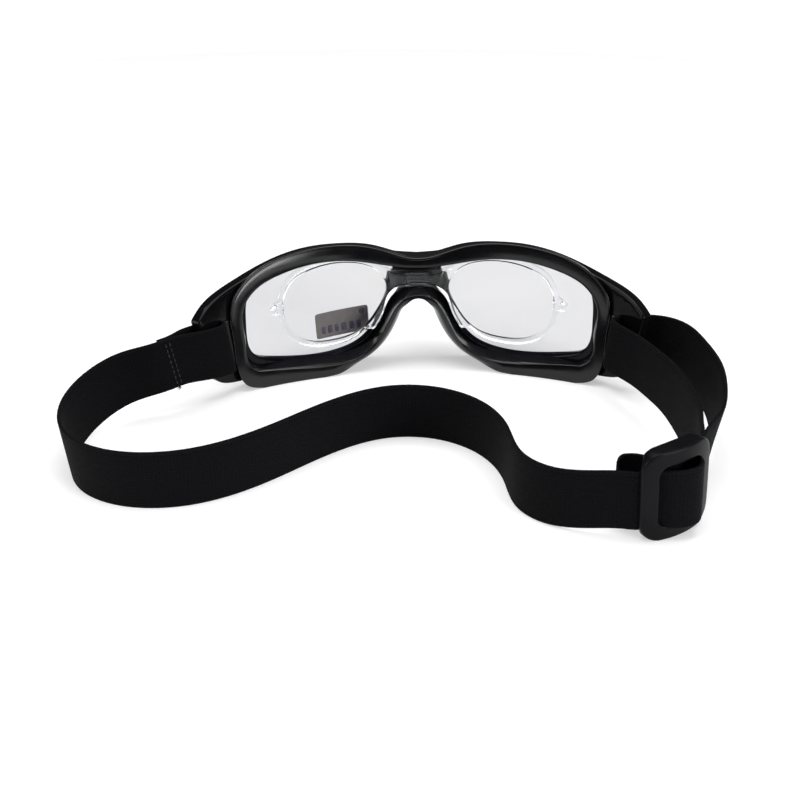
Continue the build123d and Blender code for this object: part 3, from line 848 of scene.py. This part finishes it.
floor = staged("Floor", [(-FLOOR_REACH, -FLOOR_REACH, 0), (FLOOR_REACH, -FLOOR_REACH, 0),
                         (FLOOR_REACH, FLOOR_REACH, 0), (-FLOOR_REACH, FLOOR_REACH, 0)],
               [(0, 1, 2, 3)])
soft_light("Overhead", (0, 0.1, 1.3), (0, 0, 0), (1.5, 1.0), 20)
soft_light("Right", (1.0, -0.85, 0.4), (0, 0, 0.02), (0.7, 0.6), 15)
soft_light("Left", (-1.1, -0.35, 0.45), (0, 0, 0.02), (0.7, 0.6), 6)

# A black card in front of the goggles, as a studio uses to keep glossy black dark
card_corners = [(CARD_LEFT, CARD_Y, CARD_LOW), (CARD_RIGHT, CARD_Y, CARD_LOW),
                (CARD_RIGHT, CARD_Y, CARD_HIGH), (CARD_LEFT, CARD_Y, CARD_HIGH)]
card = staged("Card", to_row(card_corners), [(0, 1, 2, 3)])
card.visible_camera = False
card.visible_diffuse = False
card.visible_shadow = False
card.visible_transmission = False

# A pale wall round the floor, out of the way of the light and the reflections
wall = Build()
wall_turns = np.radians(np.arange(0, 360, 5))
wall_line = WALL_RADIUS * np.stack([np.cos(wall_turns), np.sin(wall_turns), 0 * wall_turns], -1)
wall_rows = [wall.row(wall_line + np.array([0, 0, height])) + np.arange(len(wall_line))
             for height in (0.0, WALL_HEIGHT)]
wall.band(*wall_rows)
wall_corners, wall_faces = wall.made()
backdrop = staged("Backdrop", wall_corners, [tuple(map(int, f)) for f in wall_faces])
backdrop.visible_diffuse = False
backdrop.visible_glossy = False
backdrop.visible_shadow = False

world = bpy.data.worlds.new("World")
world.use_nodes = True
world.node_tree.nodes["Background"].inputs["Color"].default_value = (1, 1, 1, 1)
world.node_tree.nodes["Background"].inputs["Strength"].default_value = 0.07
bpy.context.scene.world = world
bpy.context.scene.view_settings.view_transform = "Standard"


# ---------------------------------------------------------------- materials
class Look:
    """A Principled material built from nodes on the object's own coordinates."""

    def __init__(self, name, **constants):
        self.material = bpy.data.materials.new(name)
        self.material.use_nodes = True
        self.tree = self.material.node_tree
        self.shader = self.tree.nodes["Principled BSDF"]
        for socket, value in constants.items():
            self.shader.inputs[socket.replace("_", " ")].default_value = value
        self.coordinates = self.tree.nodes.new("ShaderNodeTexCoord")

    def link(self, source, target):
        self.tree.links.new(source, target)

    def noise(self, scale, detail=3.0, rough=0.55, stretch=None):
        node = self.tree.nodes.new("ShaderNodeTexNoise")
        node.inputs["Scale"].default_value = scale
        node.inputs["Detail"].default_value = detail
        node.inputs["Roughness"].default_value = rough
        source = self.coordinates.outputs["Object"]
        if stretch:
            mapping = self.tree.nodes.new("ShaderNodeMapping")
            mapping.inputs["Scale"].default_value = stretch
            self.link(source, mapping.inputs["Vector"])
            source = mapping.outputs["Vector"]
        self.link(source, node.inputs["Vector"])
        return node.outputs["Fac"]

    def spread(self, value, low, high, start=0.3, stop=0.7):
        """Turns start to stop into low to high."""
        node = self.tree.nodes.new("ShaderNodeMapRange")
        for socket, number in (("From Min", start), ("From Max", stop), ("To Min", low),
                               ("To Max", high)):
            node.inputs[socket].default_value = number
        self.link(value, node.inputs["Value"])
        return node.outputs["Result"]

    def sum(self, operation, a, b=None):
        node = self.tree.nodes.new("ShaderNodeMath")
        node.operation = operation
        for socket, value in zip(node.inputs, (a, b)):
            if isinstance(value, (int, float)):
                socket.default_value = value
            elif value is not None:
                self.link(value, socket)
        return node.outputs["Value"]

    def colour(self, share, low, high):
        node = self.tree.nodes.new("ShaderNodeMix")
        node.data_type = "RGBA"
        self.link(share, node.inputs["Factor"])
        node.inputs["A"].default_value = (*low, 1)
        node.inputs["B"].default_value = (*high, 1)
        self.link(node.outputs["Result"], self.shader.inputs["Base Color"])

    def roughness(self, value):
        self.link(value, self.shader.inputs["Roughness"])

    def bump(self, height, depth):
        """Relief of depth metres."""
        node = self.tree.nodes.new("ShaderNodeBump")
        node.inputs["Distance"].default_value = depth
        self.link(height, node.inputs["Height"])
        self.link(node.outputs["Normal"], self.shader.inputs["Normal"])

    def on(self, *objects):
        for obj in objects:
            obj.data.materials.clear()
            obj.data.materials.append(self.material)


def moulded(name, low, high, rough, relief, grain, **constants):
    """Moulded plastic: faint wear in colour and gloss, and a fine grain."""
    look = Look(name, **constants)
    wear = look.noise(60, detail=4.0)
    look.colour(look.spread(wear, 0, 1), low, high)
    look.roughness(look.spread(look.noise(140, detail=5.0), *rough))
    look.bump(look.noise(grain, detail=2.0), relief)
    return look


moulded("Shell", (0.002, 0.002, 0.0024), (0.004, 0.004, 0.0046), (0.07, 0.14),
        0.00001, 700, IOR=1.2).on(front_shell)
moulded("Cushion", (0.0025, 0.0025, 0.003), (0.005, 0.005, 0.006), (0.12, 0.2),
        0.00001, 1400, IOR=1.41).on(face_cushion)
moulded("Slider", (0.002, 0.002, 0.0026), (0.004, 0.004, 0.005), (0.26, 0.38),
        0.00002, 2600, IOR=1.18).on(slider_ring, slider_bar)
moulded("Insert", (0.94, 0.955, 0.97), (0.97, 0.975, 0.98), (0.02, 0.06),
        0.000002, 500, IOR=1.3, Transmission_Weight=1.0).on(rx_insert, insert_peg)
moulded("Lens", (0.02, 0.02, 0.09), (0.03, 0.03, 0.11), (0.02, 0.05),
        0.000004, 300, IOR=1.45, Alpha=0.2).on(*lens_pieces)

label_look = Look("Label")
fibres = label_look.noise(900, detail=4.0, stretch=(1, 1, 0.4))
label_look.colour(label_look.spread(fibres, 0, 1), (0.31, 0.275, 0.22), (0.4, 0.36, 0.29))
label_look.roughness(label_look.spread(fibres, 0.42, 0.6))
label_look.bump(fibres, 0.00002)
label_look.on(lens_label)
ink_look = Look("Ink")
patches = ink_look.noise(1500, detail=2.0)
ink_look.colour(ink_look.spread(patches, 0, 1), (0.09, 0.08, 0.08), (0.16, 0.145, 0.14))
ink_look.roughness(ink_look.spread(patches, 0.35, 0.55))
ink_look.bump(patches, 0.000008)
ink_look.on(label_marks)


def woven():
    """Ribbed elastic webbing: cords along it, picks across it, a corded edge and fuzz.
    Its colour follows the relief: painted shade in the grooves, a painted highlight on the raised
    ribs and edge cords, over a random fuzz tone.
    """
    look = Look("Webbing", Sheen_Weight=0.01, Sheen_Roughness=0.5)
    look.shader.inputs["Specular IOR Level"].default_value = 0.06
    split = look.tree.nodes.new("ShaderNodeSeparateXYZ")
    look.link(look.coordinates.outputs["UV"], split.inputs["Vector"])
    along, across = split.outputs["X"], look.sum("MODULO", split.outputs["Y"], UV_BACK / 1000)
    fuzz = look.noise(2200, detail=4.0, rough=0.7)
    shaken = look.sum("ADD", along, look.spread(look.noise(300), -0.00012, 0.00012))
    drift = look.spread(look.noise(420), -0.00022, 0.00022)
    picks = look.sum("SINE", look.sum("MULTIPLY", shaken, 2 * math.pi / 0.0012))
    cords = look.sum("SINE", look.sum("MULTIPLY", look.sum("ADD", across, drift),
                                      2 * math.pi / 0.00068))
    weave = look.sum("ADD", look.sum("MULTIPLY", picks, 0.1),
                     look.sum("MULTIPLY", cords, 0.22))
    from_middle = look.sum("ABSOLUTE", look.sum("SUBTRACT", across, STRAP_WIDTH / 2000))
    # Edge cords: raised in the relief, and through the colour a painted highlight along both edges
    edge = look.spread(from_middle, 0, 1, 0.0088, 0.0092)
    height = look.sum("ADD", look.sum("ADD", weave, look.sum("MULTIPLY", fuzz, 0.9)),
                      look.sum("MULTIPLY", edge, 0.3))
    # Colour from the relief: painted shade in the weave's grooves, painted highlight on its ribs and
    # edge cords; the fuzz adds random fibre tone
    look.colour(look.spread(height, 0, 1, 0.0, 1.1), (0.0006, 0.0006, 0.0009),
                (0.0046, 0.0046, 0.0058))
    look.roughness(look.spread(fuzz, 0.75, 0.95))
    look.bump(height, 0.0002)
    return look


woven().on(*strap_pieces)
thread_look = Look("Thread", Sheen_Weight=0.2)
ply = thread_look.noise(3500, detail=2.0, stretch=(1, 1, 0.5))
thread_look.colour(thread_look.spread(ply, 0, 1), (0.002, 0.002, 0.0024), (0.005, 0.005, 0.0058))
thread_look.roughness(thread_look.spread(ply, 0.6, 0.85))
thread_look.bump(ply, 0.00006)
thread_look.on(strap_stitching)

card_look = Look("Card", Roughness=1.0)
card_look.colour(card_look.spread(card_look.noise(5), 0, 1), (0.001, 0.001, 0.001),
                 (0.002, 0.002, 0.002))
card_look.shader.inputs["Specular IOR Level"].default_value = 0.0
card_look.on(card)
paper = Look("Floor", Roughness=0.9)
paper.colour(paper.spread(paper.noise(3), 0, 1), (0.66, 0.66, 0.66), (0.68, 0.68, 0.68))
paper.shader.inputs["Emission Color"].default_value = (1, 1, 1, 1)
paper.shader.inputs["Emission Strength"].default_value = 0.42
paper.on(floor)
pale = Look("Backdrop", Roughness=1.0)
pale.colour(pale.spread(pale.noise(1), 0, 1), (0.9, 0.9, 0.9), (0.92, 0.92, 0.92))
pale.shader.inputs["Emission Color"].default_value = (1, 1, 1, 1)
pale.shader.inputs["Emission Strength"].default_value = 1.0
pale.on(backdrop)
